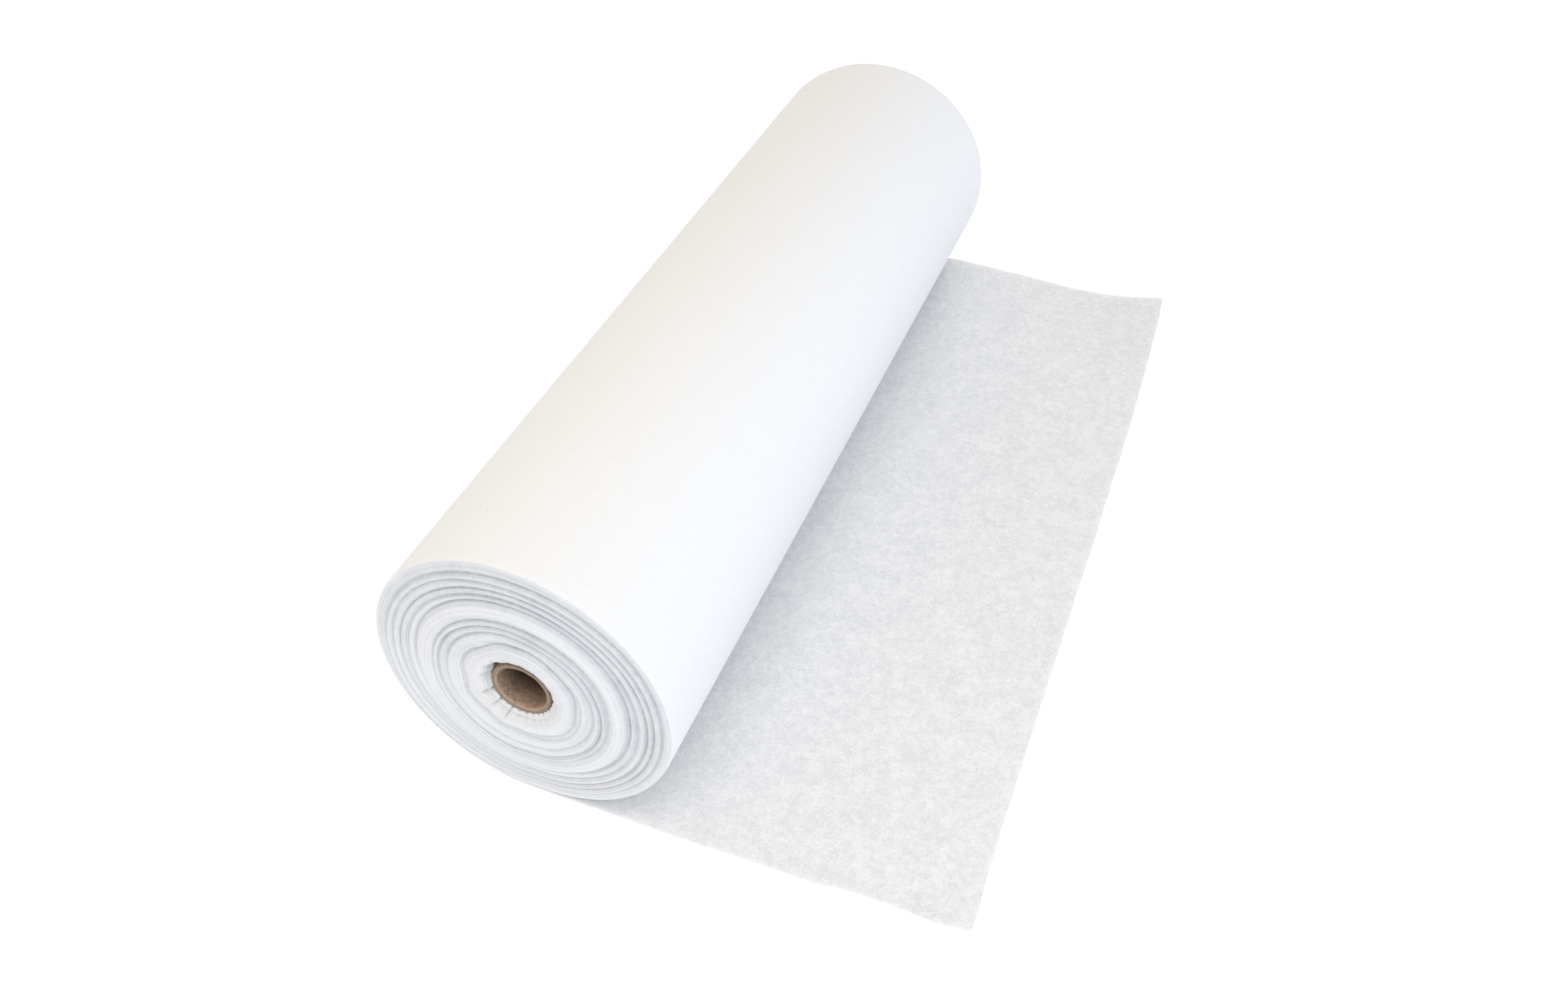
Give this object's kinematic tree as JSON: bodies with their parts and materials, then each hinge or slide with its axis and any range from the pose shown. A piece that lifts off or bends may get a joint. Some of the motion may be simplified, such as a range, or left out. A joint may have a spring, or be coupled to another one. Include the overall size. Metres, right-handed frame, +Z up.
{
  "type": "roll of nonwoven fleece on a cardboard core",
  "caption": "Roll of white nonwoven fleece wound on a cardboard core, lying on its side with its loose end laid out flat to one side.",
  "frame": {"origin": "middle of the footprint, on the surface that the roll and its loose end lie on", "axes": "+Y along the roll's axis from the near end, whose rings and core the picture shows, to the far end; +X across the roll towards the loose end's cut edge; +Z up"},
  "size_m": [0.5604, 1.0054, 0.2846],
  "materials": {
    "fleece_wound": "matt pressed felt, white, finely dimpled",
    "fleece_sheet": "matt fibrous felt, white with cloudy pale grey mottling",
    "cardboard": "matt wound brown board, lighter on its cut end"
  },
  "bodies": {
    "root": {"fleece_roll": "fleece_wound", "loose_end": "fleece_sheet", "core_tube": "cardboard"}
  },
  "joints": []
}
